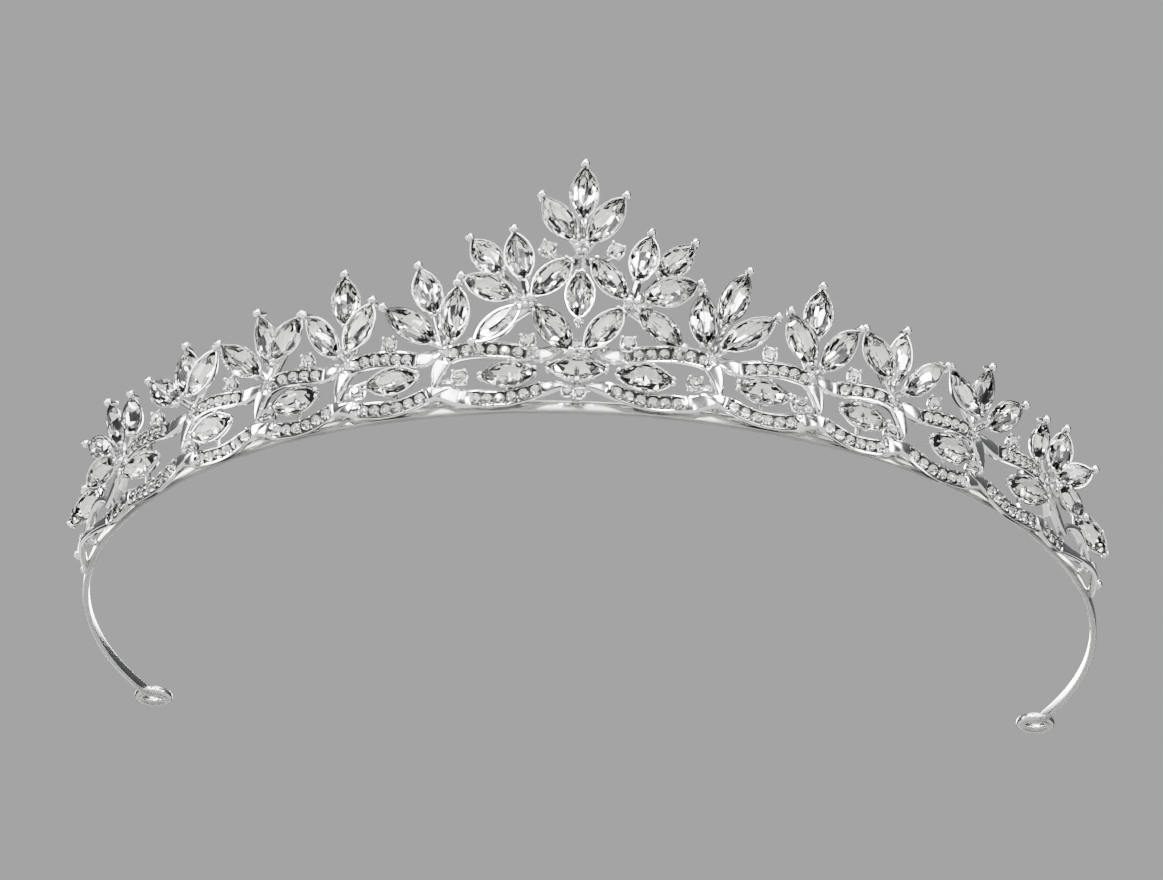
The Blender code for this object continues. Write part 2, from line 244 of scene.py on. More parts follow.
class Shape:
    """Closed shells gathered into one mesh, each face with the number of its finish."""

    def __init__(self):
        self.points, self.faces, self.finishes, self.smooth = [], [], [], []

    def add(self, points, faces, finish=0, smooth=True):
        first = len(self.points)
        self.points += points
        self.faces += [[first + corner for corner in face] for face in faces]
        count = len(faces)
        self.finishes += finish if isinstance(finish, list) else [finish] * count
        self.smooth += [smooth] * count


def loft(rings, closed=False):
    """Faces of a skin over rings of equal count, capped at both ends unless closed on itself."""
    count = len(rings[0])
    points = [point for ring in rings for point in ring]
    faces = []
    spans = len(rings) if closed else len(rings) - 1
    for row in range(spans):
        here, there = row * count, (row + 1) % len(rings) * count
        for column in range(count):
            beside = (column + 1) % count
            faces.append((here + column, here + beside, there + beside, there + column))
    if not closed:
        last = (len(rings) - 1) * count
        faces.append(tuple(reversed(range(count))))
        faces.append(tuple(range(last, last + count)))
    return points, faces


def smooth_curve(controls, spacing):
    """Points at even steps on a smooth curve through the controls, which may hold any values."""
    controls = [Vector(control) for control in controls]
    ends = [2 * controls[0] - controls[1], *controls, 2 * controls[-1] - controls[-2]]
    dense = []
    for a, b, c, d in zip(ends, ends[1:], ends[2:], ends[3:]):
        steps = max(2, ceil((c - b).length / (spacing / 3)))
        for step in range(steps):
            t = step / steps
            dense.append(
                0.5 * (2 * b + (c - a) * t + (2 * a - 5 * b + 4 * c - d) * t * t
                       + (3 * b - a - 3 * c + d) * t * t * t)
            )
    dense.append(controls[-1])
    run = [0.0]
    for a, b in zip(dense, dense[1:]):
        run.append(run[-1] + (b - a).length)
    count = max(2, round(run[-1] / spacing))
    points, at = [], 0
    for step in range(count + 1):
        want = run[-1] * step / count
        while at < len(run) - 2 and run[at + 1] < want:
            at += 1
        gap = run[at + 1] - run[at]
        points.append(dense[at].lerp(dense[at + 1], (want - run[at]) / gap if gap else 0))
    return points


def spoke(radius, angle):
    return radius * cos(angle), radius * sin(angle)


def circle(radius, count, height=0.0, turn=0.0):
    return [(*spoke(radius, turn + 2 * pi * i / count), height) for i in range(count)]


def lens(length, width, steps, height=0.0):
    """Outline of a navette, two equal arcs between two points on the x axis."""
    half_length, half_width = length / 2, width / 2
    radius = (half_length**2 + half_width**2) / (2 * half_width)
    sweep = asin(min(1.0, half_length / radius))
    points = []
    for side in (1, -1):
        for step in range(steps):
            angle = sweep * (1 - 2 * step / steps)
            rise = radius * cos(angle) - (radius - half_width)
            points.append((side * radius * sin(angle), side * rise, height))
    return points


CUT = {}  # the stones cut so far, by their points
CRYSTAL, FOIL = 0, 1


def cut_stone(shape, place, points, back):
    """The convex stone round these points. Its faces behind the given depth are foil."""
    key = tuple(points)
    if key not in CUT:
        build = bmesh.new()
        for point in points:
            build.verts.new(point)
        found = bmesh.ops.convex_hull(build, input=build.verts)
        loose = [v for v in found["geom_interior"] if isinstance(v, bmesh.types.BMVert)]
        bmesh.ops.delete(build, geom=loose, context="VERTS")
        bmesh.ops.dissolve_limit(build, angle_limit=0.01, verts=build.verts, edges=build.edges)
        bmesh.ops.recalc_face_normals(build, faces=build.faces)
        build.verts.index_update()
        corners = [vertex.co.copy() for vertex in build.verts]
        faces = [tuple(vertex.index for vertex in face.verts) for face in build.faces]
        middles = [face.calc_center_median().z for face in build.faces]
        build.free()
        CUT[key] = corners, faces, [FOIL if z < -back else CRYSTAL for z in middles]
    corners, faces, finishes = CUT[key]
    shape.add(moved(corners, place), faces, finishes, smooth=False)


def navette_size(length):
    """Width, crown and back of a navette of this length."""
    size = stones()
    width = size.navette_width / MM * min(1.0, length / NAVETTE_FULL_LENGTH + 0.02)
    return width, size.crown_height / MM, size.back_depth / MM


def add_navette(shape, place, length, long_table=False):
    """A navette. A long table gives big triangular facets, a short one long slim ones."""
    width, crown, back = navette_size(length)
    table, shoulder = ((0.58, 0.50), (0.84, 0.80)) if long_table else ((0.70, 0.36), (0.90, 0.74))
    points = lens(length, width, 6, 0.0) + lens(length, width, 6, -GIRDLE_EDGE)
    points += lens(shoulder[0] * length, shoulder[1] * width, 3, 0.55 * crown)
    points += lens(table[0] * length, table[1] * width, 4, crown)
    points += lens(0.66 * length, 0.66 * width, 3, -GIRDLE_EDGE - 0.58 * (back - GIRDLE_EDGE))
    points += [(-0.2 * length, 0, -back), (0.2 * length, 0, -back)]
    cut_stone(shape, place, points, GIRDLE_EDGE)


def add_round(shape, place, diameter):
    """A round stone: girdle, crown and table above it, and a shallow back."""
    girdle = 0.1 * diameter
    points = circle(diameter / 2, 16) + circle(diameter / 2, 16, -girdle)
    points += circle(0.39 * diameter, 8, 0.21 * diameter)
    points += circle(0.22 * diameter, 8, 0.34 * diameter, pi / 8)
    points += circle(0.25 * diameter, 8, -0.25 * diameter) + [(0, 0, -0.34 * diameter)]
    cut_stone(shape, place, points, girdle)


def add_turned(shape, place, profile, sides=10):
    """A turned part: profile as (radius, height) up its own z axis."""
    shape.add(*loft([moved(circle(radius, sides, height), place) for radius, height in profile]))


def dome(radius, middle, steps):
    """Profile of a ball, at these angles above its middle."""
    turns = [radians(step) for step in steps]
    return [(radius * cos(turn), middle + radius * sin(turn)) for turn in turns]


def add_claw(shape, place, at, ball, top, foot):
    """A claw: a slim stem from foot up to a ball that sits over the stone's edge."""
    radius, middle = ball / 2, top - ball / 2
    stem = [(0.5 * radius, foot), (0.46 * radius, middle - 1.05 * radius)]
    ball_profile = dome(radius, middle, (-52, -28, -5, 18, 41, 62, 82))
    own = place @ Matrix.Translation((*at, 0))
    add_turned(shape, own, stem + ball_profile, sides=12)


def add_cup(shape, place, outline, rim, back, wall, inner_back):
    """An open cup under a stone, of rings from outline(scale, height), from back to rim."""
    section = (
        (0.50, -back), (0.62, 0.05 - back), (0.86, -0.45 * back), (0.985, -0.16), (1.0, rim - 0.06),
        (1.0 - 0.25 * wall, rim), (1.0 - wall, rim), (1.0 - 1.25 * wall, rim - 0.08),
        (0.80 - wall, -0.45 * back), (0.45, -inner_back),
    )
    shape.add(*loft([moved(outline(scale, height), place) for scale, height in section]))


def add_navette_setting(shape, place, length, low=False):
    """A navette's cup with its claws: one tall ball at the tip, or six low ones all round."""
    width, _, back = navette_size(length)
    wall, ball = metal().cup_wall / MM, metal().claw_ball / MM
    full_length, full_width = length + 2.8 * wall, width + 2 * wall

    def outline(scale, height):
        return lens(full_length * scale, full_width * scale, 10, height)

    add_cup(shape, place, outline, 0.14, back + 0.12, 1.9 * wall / full_width, back - 0.02)
    tip = length / 2
    if low:
        for side in (-1, 1):
            add_claw(shape, place, (tip - 0.12, 0.34 * side), 0.60 * ball, 0.56, -0.55)
    else:
        add_claw(shape, place, (tip + 0.40, 0.0), ball, 0.92, -back)
    for side in (-1, 1):
        add_claw(shape, place, (0.35 - tip, 0.50 * side), 0.56 * ball, 0.50, -0.55)
    for side in (-1, 1) if low else ():
        add_claw(shape, place, (0.9 * side, 0.49 * width * side), 0.50 * ball, 0.48, -0.45)


def add_round_setting(shape, place, diameter, turn=45.0):
    """A round stone's cup with its four claws."""
    wall = metal().cup_wall / MM
    full = diameter + 2 * wall

    def outline(scale, height):
        return circle(full / 2 * scale, 14, height)

    add_cup(shape, place, outline, 0.0, 0.50 * diameter, 2.2 * wall / full, 0.46 * diameter)
    for quarter in range(4):
        at = spoke(0.54 * diameter, radians(turn + 90 * quarter))
        add_claw(shape, place, at, 0.27 * diameter, 0.34 * diameter, -0.3 * diameter)


WIRE_STEP = 0.6


def add_wire(shape, controls, thickness, sides=8):
    """A round wire through controls, each (along, height, depth, share of its thickness)."""
    path = smooth_curve(controls, WIRE_STEP)
    rings = []
    for number, point in enumerate(path):
        before, after = path[max(0, number - 1)], path[min(len(path) - 1, number + 1)]
        run = Vector((after - before)[:3]).normalized()
        side = run.cross(Vector((0, 0, 1)))
        if side.length < 0.1:
            side = run.cross(Vector((0, 1, 0)))
        side.normalize()
        rise = side.cross(run)
        radius = thickness / 2 * max(0.08, point[3])
        rings.append([
            bent(*(Vector(point[:3]) + side * x + rise * y)) for x, y, _ in circle(radius, sides)
        ])
    shape.add(*loft(rings))


RAIL_STEP = 0.45
RAIL_FLOOR = (6, 7)  # of the faces round a rail, those at the bottom of its channel
# Faces at the bottom of a channel take the darker shadowed_silver: painted shade between the pavé
# stones.
CAST, RECESS = 0, 1
PAVE_DEPTH = LATTICE_FRONT - 0.02
PAVE_PITCH = 1.09  # of neighbouring pavé stones, in diameters
BEAD_DIAMETER, BEAD_INSET = 0.34, 0.10


def add_rail(shape, controls):
    """A cast rail through controls, each (along, height, width share, plainness, depth shift).

    Plainness 0 is a channel between two rims, for pavé, and 1 is a plain rounded leaf.
    """
    full, rim_width = metal().rail_width / MM, metal().rim_width / MM
    edge = 0.09
    path = smooth_curve(controls, RAIL_STEP)
    rings = []
    for number, (along, height, width_share, plainness, shift) in enumerate(path):
        before, after = path[max(0, number - 1)], path[min(len(path) - 1, number + 1)]
        run = Vector((after[0] - before[0], after[1] - before[1])).normalized()
        half = full / 2 * max(0.07, width_share)
        rim = min(rim_width, 0.4 * half)
        plain = min(1.0, max(0.0, plainness))
        front = LATTICE_FRONT + shift
        floor = front - CHANNEL_DEPTH * (1 - plain) + 0.10 * plain
        shoulder = front - 0.10 * plain
        flank = [
            (half - min(0.45, 0.5 * half), LATTICE_BACK + shift),
            (half - 0.12, front - 0.32),
            (half, shoulder - edge - 0.1 * plain),
            (half - 0.4 * edge, shoulder - 0.3 * edge - 0.05 * plain),
            (half - edge, shoulder),
            (half - rim, shoulder + 0.08 * plain),
            (half - rim - 0.06, floor),
        ]
        profile = [(-x, depth) for x, depth in flank]
        profile += [(0.0, floor + 0.05 * plain), *reversed(flank)]
        rings.append([bent(along + run.y * x, height - run.x * x, depth) for x, depth in profile])
    points, faces = loft(rings)
    # The channel bottoms get the darker silver as painted shade, and the rest stays cast silver.
    finishes = [
        RECESS if point[3] < 0.5 and column in RAIL_FLOOR else CAST
        for point in path[:-1]
        for column in range(len(rings[0]))
    ]
    shape.add(points, faces, finishes + [CAST, CAST])
    return path


def add_pave(castings, gems, path, first, last):
    """Pavé stones along a rail between two places along the band, with beads between them."""
    diameter = stones().pave_diameter / MM
    low, high = sorted((first, last))
    stretch = [point for point in path if low <= point[0] <= high]
    run = [0.0]
    for a, b in zip(stretch, stretch[1:]):
        run.append(run[-1] + dist(a[:2], b[:2]))
    count = max(2, round(run[-1] / (PAVE_PITCH * diameter)) + 1)
    beads = []
    for number in range(2 * count - 1):
        want = run[-1] * number / (2 * count - 2)
        at = max(i for i, length in enumerate(run) if length <= want + 1e-9)
        at = min(at, len(stretch) - 2)
        share = (want - run[at]) / max(1e-6, run[at + 1] - run[at])
        point = stretch[at].lerp(stretch[at + 1], share)
        place = rail_seat(point, stretch[at + 1] - stretch[at])
        if number % 2 == 0:
            add_round(gems, place, diameter)
        else:
            beads.append(place)
    for end, beside in ((0, 1), (-1, -2)):
        place = rail_seat(stretch[end], stretch[beside] - stretch[end])
        beads.append(place @ Matrix.Translation((-0.53 * diameter, 0, 0)))
    reach = metal().rail_width / MM / 2 - metal().rim_width / MM - BEAD_INSET
    for place in beads:
        for side in (-1, 1):
            add_bead(castings, place @ Matrix.Translation((0, side * reach, 0)), BEAD_DIAMETER)


def rail_seat(point, step):
    """Place for a stone or bead in a rail that runs on by this step."""
    angle = degrees(atan2(step[1], step[0]))
    return seat(point[0], point[1], PAVE_DEPTH, angle, to_front=0)


def add_bead(shape, place, diameter):
    """A small raised bead that holds a pavé stone."""
    radius = diameter / 2
    shaft = [(0.8 * radius, -0.4), (0.95 * radius, 0.1)]
    add_turned(shape, place, shaft + dome(radius, 0.14, (15, 45, 75)), sides=8)


# Finishes


class Nodes:
    """The nodes of a material or of the world, while they are put together."""

    def __init__(self, tree):
        self.nodes, self.links = tree.nodes, tree.links

    def add(self, kind, **values):
        """A node with these values on its inputs. A value that is a socket is linked to it."""
        node = self.nodes.new(f"ShaderNode{kind}")
        for name, value in values.items():
            socket = node.inputs[name.replace("_", " ")]
            if isinstance(value, bpy.types.NodeSocket):
                self.links.new(value, socket)
            else:
                socket.default_value = value
        return node

    def mixed(self, share, first, second):
        """Two shaders mixed by a share, which is 1 where only the second one shows."""
        mix = self.add("MixShader", Fac=share)
        self.links.new(first, mix.inputs[1])
        self.links.new(second, mix.inputs[2])
        return mix.outputs["Shader"]


class Finish(Nodes):
    """A material under way, with the nodes that its finish is made of."""

    def __init__(self, name):
        old = bpy.data.materials.get(name)
        if old:
            bpy.data.materials.remove(old)
        self.material = bpy.data.materials.new(name)
        self.material.use_nodes = True
        super().__init__(self.material.node_tree)
        self.shader = self.nodes["Principled BSDF"].inputs

    def coordinates(self):
        return self.add("TexCoord").outputs["Object"]

    def noise(self, coordinates, scale, detail=3.0):
        return self.add("TexNoise", Vector=coordinates, Scale=scale, Detail=detail).outputs["Fac"]

    def spread(self, noise_value, low, high):
        limits = {"From_Min": 0.3, "From_Max": 0.7, "To_Min": low, "To_Max": high}
        return self.add("MapRange", Value=noise_value, **limits).outputs["Result"]

    def tone(self, coordinates, scale, colour, shade):
        """The base colour, which drifts to a darker shade of itself and back."""
        mix = self.nodes.new("ShaderNodeMix")
        mix.data_type = "RGBA"
        mix.inputs["A"].default_value = (*colour, 1.0)
        mix.inputs["B"].default_value = (*(c * part for c, part in zip(colour, shade)), 1.0)
        share = self.spread(self.noise(coordinates, scale), 0.0, 1.0)
        self.links.new(share, mix.inputs["Factor"])
        self.links.new(mix.outputs["Result"], self.shader["Base Color"])

    def polish(self, noise_value, smoothest, roughest):
        self.links.new(self.spread(noise_value, smoothest, roughest), self.shader["Roughness"])

    def bump(self, height, strength, distance):
        raised = self.add("Bump", Height=height, Strength=strength, Distance=distance)
        self.links.new(raised.outputs["Normal"], self.shader["Normal"])


def silver_finish(name, brightness, smoothest, roughest, bump):
    """Plated silver: faint cloudiness, uneven polish and the fine grain of the casting. A
    brightness below 1 gives a darker copy of it, which is painted shade.
    """
    silver = Finish(name)
    place = silver.coordinates()
    colour = [brightness * channel for channel in metal().silver_colour]
    silver.tone(place, 160.0, colour, (0.88, 0.88, 0.88))
    silver.polish(silver.noise(place, 420.0), smoothest, roughest)
    silver.bump(silver.noise(place, 2600.0, 4.0), bump, 0.0001)
    silver.shader["Metallic"].default_value = 1.0
    return silver.material


def strip_finish():
    """Drawn strip: fine lines that run along it, under the plating."""
    strip = Finish("drawn_silver_strip")
    strip_map = strip.nodes.new("ShaderNodeUVMap")
    strip_map.uv_map = "strip"
    stretch = strip.add("Mapping", Vector=strip_map.outputs["UV"], Scale=(60.0, 6000.0, 1.0))
    place = stretch.outputs["Vector"]
    strip.tone(place, 1.0, tuple(metal().strip_colour), (0.93, 0.93, 0.93))
    drawn_lines = strip.noise(place, 1.3, 5.0)
    strip.polish(drawn_lines, 0.2, 0.3)
    strip.bump(drawn_lines, 0.04, 0.00005)
    strip.shader["Metallic"].default_value = 1.0
    return strip.material


def crystal_finish():
    """Clear crystal with the faintest cast and polish marks."""
    crystal = Finish("clear_crystal")
    place = crystal.coordinates()
    crystal.tone(place, 90.0, tuple(stones().crystal_colour), (0.965, 0.975, 0.98))
    crystal.polish(crystal.noise(place, 500.0), 0.0, 0.02)
    crystal.shader["Transmission Weight"].default_value = 1.0
    crystal.shader["IOR"].default_value = 1.56
    return crystal.material


def foil_finish():
    """Silvered foil on the back of a stone, seen through the crystal and from behind."""
    foil = Finish("silvered_foil")
    place = foil.coordinates()
    foil.tone(place, 300.0, tuple(stones().foil_colour), (0.9, 0.9, 0.9))
    foil.polish(foil.noise(place, 700.0), 0.02, 0.08)
    foil.shader["Metallic"].default_value = 1.0
    return foil.material


def finish_for(name):
    """The finish of that name, made the first time it is asked for."""
    makers = {
        "clear_crystal": crystal_finish,
        "silvered_foil": foil_finish,
        "drawn_silver_strip": strip_finish,
        "cast_silver": lambda: silver_finish("cast_silver", 1.0, 0.2, 0.34, 0.06),
        # A darker copy of the cast silver for the channel bottoms: painted shade.
        "shadowed_silver": lambda: silver_finish("shadowed_silver", 0.6, 0.4, 0.6, 0.3),
    }
    return bpy.data.materials.get(name) or makers[name]()


GEM = ("clear_crystal", "silvered_foil")
CASTING = ("cast_silver",)
RAIL = ("cast_silver", "shadowed_silver")
STRIP = ("drawn_silver_strip",)


def place_object(name, data):
    """A new object in the scene, in place of an earlier one of that name."""
    old = bpy.data.objects.get(name)
    if old:
        bpy.data.objects.remove(old, do_unlink=True)
    made = bpy.data.objects.new(name, data)
    bpy.context.scene.collection.objects.link(made)
    return made


def make_piece(name, shape, finishes, slot, *replaced):
    """The gathered shells as one piece of the tiara, riding on the frame."""
    mesh = bpy.data.meshes.new(name)
    mesh.from_pydata(shape.points, [], shape.faces)
    for finish in finishes:
        mesh.materials.append(finish_for(finish))
    mesh.polygons.foreach_set("material_index", shape.finishes)
    mesh.update()
    build = bmesh.new()
    build.from_mesh(mesh)
    bmesh.ops.recalc_face_normals(build, faces=build.faces)
    build.to_mesh(mesh)
    build.free()
    mesh.polygons.foreach_set("use_smooth", shape.smooth)
    if any(shape.smooth):
        mesh.set_sharp_from_angle(angle=CREASE)
    piece = place_object(name, mesh)
    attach(piece, "root")
    if replaced:
        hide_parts(*replaced)
    return piece


def make_gem(name, shape, *replaced):
    return make_piece(name, shape, GEM, "crystal", *replaced)


def make_casting(name, shape, *replaced):
    return make_piece(name, shape, CASTING, "cast_silver", *replaced)


def make_rails(name, shape, *replaced):
    return make_piece(name, shape, RAIL, "cast_silver", *replaced)


def wobble(name, amount):
    """A small fixed unevenness for each stone, as it is never set quite true."""
    seed = sum((place + 1) * ord(letter) for place, letter in enumerate(name))
    return amount * noise.noise(Vector((seed * 0.37, seed * 0.11, 0.5))) * 2


# Pieces


STRIP_CORNER, STRIP_STEPS = 0.22, 290


def strip_profile():
    """Section of the strip with rounded edges, as (depth, height)."""
    front, back = -STRIP_CORNER, STRIP_CORNER - metal().strip_thickness / MM
    top, bottom = STRIP_HEIGHT - STRIP_CORNER, STRIP_CORNER
    corners = ((front, top, 0), (back, top, 90), (back, bottom, 180), (front, bottom, 270))
    profile = []
    for depth, height, start in corners:
        for step in range(4):
            x, y = spoke(STRIP_CORNER, radians(start + 30 * step))
            profile.append((depth + x, height + y))
    return profile


def build_strip():
    """The sprung strip with rounded edges, and a rolled eyelet at each end."""
    profile = strip_profile()
    rings = []
    for step in range(STRIP_STEPS + 1):
        along = STRIP_HALF_LENGTH * (2 * step / STRIP_STEPS - 1)
        rings.append([on_hoop(along, HOOP_RADIUS + depth, height) for depth, height in profile])
    shape = Shape()
    shape.add(*loft(rings))
    add_strip_map(make_piece("sprung_strip", shape, STRIP, "band_silver", "headband"))
    for side, sign in SIDES:
        build_eyelet(side, sign, profile)


def add_strip_map(piece):
    """A map with u along the strip and v round it, in metres, for the drawn lines."""
    layer = piece.data.uv_layers.new(name="strip")
    for loop in piece.data.loops:
        place = piece.data.vertices[loop.vertex_index].co / MM
        turn = atan2(place.x, HOOP_MIDDLE - place.y)
        reach = hypot(place.x, HOOP_MIDDLE - place.y)
        layer.data[loop.index].uv = (turn * HOOP_RADIUS * MM, (place.z + reach) * MM)


def build_eyelet(side, sign, profile):
    """The end of the strip rolled into a ring, with a short neck from the strip."""
    low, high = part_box(f"eyelet_{side}")
    middle = (low + high) / 2
    wire = (high.z - low.z) / MM
    pitch_radius = ((high.x - low.x) / MM - wire) / 2
    section = [
        [wire / 2 * copysign(abs(part) ** 0.8, part) for part in spoke(1.0, tau * i / 14)]
        for i in range(14)
    ]
    rings = []
    for out in circle(1.0, 40):
        rings.append([
            middle + (Vector(out) * (pitch_radius + across) + Vector((0, 0, up))) * MM
            for across, up in section
        ])
    shape = Shape()
    shape.add(*loft(rings, closed=True))
    neck = []
    centre_depth, centre_height = -0.45, STRIP_HEIGHT / 2
    for step in range(5):
        along = sign * (STRIP_HALF_LENGTH - 0.6 + 0.45 * step)
        share = 0.98 * (1.0 - 0.05 * step)
        neck.append([
            on_hoop(
                along,
                HOOP_RADIUS + centre_depth + (depth - centre_depth) * share,
                centre_height + (height - centre_height) * share,
            )
            for depth, height in profile
        ])
    shape.add(*loft(neck))
    name = f"rolled_eyelet_{side}"
    add_strip_map(make_piece(name, shape, STRIP, "band_silver", f"eyelet_{side}"))


def drop(along):
    """How far the lower rails hang down, more and more towards the ends of the lattice."""
    return WHOLE_DROP * min(1.0, max(0.0, (abs(along) - DROP_STARTS) / DROP_RUN))


def eye_rails(inward, share, first):
    """Controls of an eye's two rails, from its outer junction to its inner one.

    inward(mm) and share(part of the eye) give a place along the band.
    """
    upper = [
        (inward(-0.85), 3.0, 0.16, 1.0, 0.1),
        (inward(-0.72), 4.3, 0.52, 1.0, 0.15),
        (inward(-0.35), 5.8, 0.82, 1.0, 0.15),
        (inward(0.35), 7.3, 0.98, 1.0, 0.1),
        (inward(1.3), 8.0, 1.0, 0.1, 0.05),
        (inward(2.6), 8.35, 1.0, 0.0, 0.0),
        (share(0.31), 8.45, 0.98, 0.0, 0.0),
        (share(0.43), 8.3, 0.97, 0.0, 0.0),
        (share(0.56), 8.05, 0.97, 0.0, 0.0),
        (share(0.66), 7.8, 0.95, 0.1, 0.0),
        (share(0.76), 7.55, 0.92, 1.0, 0.0),
        (share(0.87), 7.5 if first else 7.8, 0.84, 1.0, 0.0),
        (share(0.96), 8.3 if first else 8.2, 0.66, 1.0, -0.1),
        (share(1.03), 9.2 if first else 8.5, 0.3, 1.0, -0.25),
    ]
    lower = [
        (inward(-0.9), 2.6, 0.62, 1.0, -0.15),
        (inward(0.6), 2.45, 0.9, 1.0, 0.0),
        (inward(2.0), 1.95, 1.0, 1.0 if first else 0.9, 0.0),
        (inward(2.9), 1.65, 1.0, 1.0 if first else 0.1, 0.0),
        (share(0.34), 1.35, 1.0, 0.0, 0.0),
        (share(0.46), 1.2, 1.0, 0.0, 0.0),
        (share(0.58), 1.3, 1.0, 0.0, 0.0),
        (share(0.70), 1.7, 0.98, 0.0, 0.0),
        (share(0.80), 2.2, 0.96, 0.1, 0.0),
        (share(0.88), 2.6, 0.9, 1.0, 0.0),
        (share(0.97), 2.85, 0.7, 1.0, 0.1),
        (share(1.08), 3.0, 0.22, 1.0, 0.1),
    ]
    return upper, [(along, height - drop(along), *rest) for along, height, *rest in lower]


def add_eye(castings, gems, number, sign):
    """The two rails of one almond eye between two junctions, with their pavé stones."""
    inner, outer = JUNCTIONS[number - 1 : number + 1]
    first = number == 1

    def inward(distance):
        return sign * (outer - distance)

    def share(part):
        return inward(part * (outer - inner))

    upper, lower = eye_rails(inward, share, first)
    add_pave(castings, gems, add_rail(castings, upper), inward(1.3), share(0.66))
    start = share(0.3 if first else 0.2)
    add_pave(castings, gems, add_rail(castings, lower), start, share(0.82))


def build_lattice():
    """The almond eyes: channel rails set with pavé, plain leaves and turned-down ends."""
    eyes = [("centre", 1, (-1, 1))]
    eyes += [(f"{side}_{n}", n, (sign,)) for n in range(2, len(JUNCTIONS)) for side, sign in SIDES]
    for name, number, signs in eyes:
        castings, gems = Shape(), Shape()
        for sign in signs:
            add_eye(castings, gems, number, sign)
        make_rails(f"eye_rails_{name}", castings, f"lattice_frame_{name}")
        make_gem(f"pave_stones_{name}", gems)
    for side, sign in SIDES:
        build_end_frame(side, sign)


def build_end_frame(side, sign):
    """The last small eye and the sweep that curls down on to the strip."""
    castings = Shape()
    start = JUNCTIONS[-1]

    def place(beyond, height, width, plain=1.0, shift=0.0):
        return (sign * (start + beyond), height, width, plain, shift)

    add_rail(castings, [
        place(-0.4, 6.8, 0.5), place(1.2, 6.2, 0.62), place(3.0, 4.9, 0.66), place(4.6, 3.6, 0.6),
        place(6.2, 2.6, 0.3),
    ])
    path = add_rail(castings, [
        place(-1.6, 1.0, 0.5), place(-0.4, 0.75, 0.9, 0.1), place(1.0, 0.45, 0.96, 0.0),
        place(3.2, 0.2, 0.92, 0.0), place(4.6, 0.2, 0.9, 0.1), place(5.8, 0.3, 0.8),
        place(8.5, 0.8, 0.66), place(11.5, 1.4, 0.56), place(14.5, 2.0, 0.54),
        place(17.5, 2.4, 0.5, 1.0, 0.1), place(20.0, 2.1, 0.46, 1.0, 0.1),
        place(22.0, 1.4, 0.42, 1.0, -0.4), place(23.8, 0.95, 0.34, 1.0, -1.1),
    ])
    gems = Shape()
    add_pave(castings, gems, path, sign * (start - 0.2), sign * (start + 4.4))
    make_gem(f"pave_stones_{side}_6", gems)
    for beyond, height, diameter in ((18.4, 3.0, 1.3), (22.2, 1.9, 1.5)):
        ball = dome(diameter / 2, 0.0, range(-85, 86, 17))
        add_turned(castings, seat(sign * (start + beyond), height, 1.3), ball, sides=14)
    add_rail(castings, [
        place(5.6, 3.2, 0.3), place(7.6, 4.4, 0.42, 1.0), place(9.8, 5.0, 0.42, 1.0, 0.1),
        place(12.2, 4.8, 0.42, 1.0, 0.1), place(14.6, 3.9, 0.38, 1.0), place(17.0, 2.6, 0.3, 1.0),
    ])
    node = f"lattice_frame_{side}_6"
    make_rails(f"end_sweep_{side}", castings, node)


def build_band_stones():
    """The navettes in the eyes, the end stones and the small rounds beside them."""
    names = ["centre"] + [f"{side}_{number}" for side, _ in SIDES for number in range(1, 6)]
    for name in names:
        node = f"band_stone_{name}"
        along, height = drawn(node)
        if name == "centre":
            length, angle = CENTRE_NAVETTE, 0.0 if along >= 0 else 180.0
        else:
            length, angle = BAND_NAVETTE, -4.0 if along > 0 else 184.0
        place = seat(along, height, BAND_GIRDLE_DEPTH, angle, 0.0, wobble(node, 12))
        gem, setting = Shape(), Shape()
        add_navette(gem, place, length, long_table=True)
        add_navette_setting(setting, place, length, low=True)
        add_arm(setting, (along, height + 3.3), (along, height - 3.3), 0.85, 0.85, 0.9)
        make_gem(f"band_navette_{name}", gem, node)
        make_casting(f"band_cup_{name}", setting)
    for side, sign in SIDES:
        build_end_stone(side, sign)
        build_eye_rounds(side, sign)
    gem, setting = Shape(), Shape()
    for along, height in CENTRE_ROUNDS:
        add_set_round(gem, setting, along, height, LATTICE_FRONT + 0.2, CENTRE_ROUND_DIAMETER)
    add_wire(setting, [(-2.4, 8.8, 1.0, 0.6), (0, 9.3, 1.0, 1.0), (2.4, 8.8, 1.0, 0.6)], 1.3)
    add_wire(setting, [(-1.8, 2.9, 1.0, 0.7), (0, 2.7, 1.0, 1.0), (1.8, 2.9, 1.0, 0.7)], 1.2)
    make_gem("centre_rounds", gem)
    make_casting("centre_round_cups", setting)


def build_end_stone(side, sign):
    """The navette at the end of the lattice, turned to the front, on its arm."""
    node = f"end_stone_{side}"
    along, height = drawn(node)
    along -= 1.4 * sign
    place = seat(along, height, END_GIRDLE_DEPTH, 90 - sign * 138, to_front=END_STONE_TURN)
    gem, setting = Shape(), Shape()
    add_navette(gem, place, BAND_NAVETTE, long_table=True)
    add_navette_setting(setting, place, BAND_NAVETTE, low=True)
    foot = (sign * (JUNCTIONS[-1] + 12.2), 4.8)
    add_arm(setting, (along, height), foot, 0.4, 1.0, 1.1)
    make_gem(f"end_navette_{side}", gem, node)
    make_casting(f"end_cup_{side}", setting)


def build_eye_rounds(side, sign):
    """The small round stone at the outer end of each eye, on a short arm."""
    gem, setting = Shape(), Shape()
    diameter = stones().round_diameter / MM
    for (along, height), junction in zip(EYE_ROUNDS, JUNCTIONS[1:]):
        foot = (sign * (junction - 0.1), height)
        add_arm(setting, (sign * along, height), foot, 0.9, 1.0, 0.9)
        add_set_round(gem, setting, sign * along, height, LATTICE_FRONT + 0.1, diameter)
    make_gem(f"eye_rounds_{side}", gem)
    make_casting(f"eye_round_cups_{side}", setting)


def add_set_round(gem, setting, along, height, depth, diameter, turn=45.0):
    """A round stone and its setting."""
    place = seat(along, height, depth)
    add_round(gem, place, diameter)
    add_round_setting(setting, place, diameter, turn)


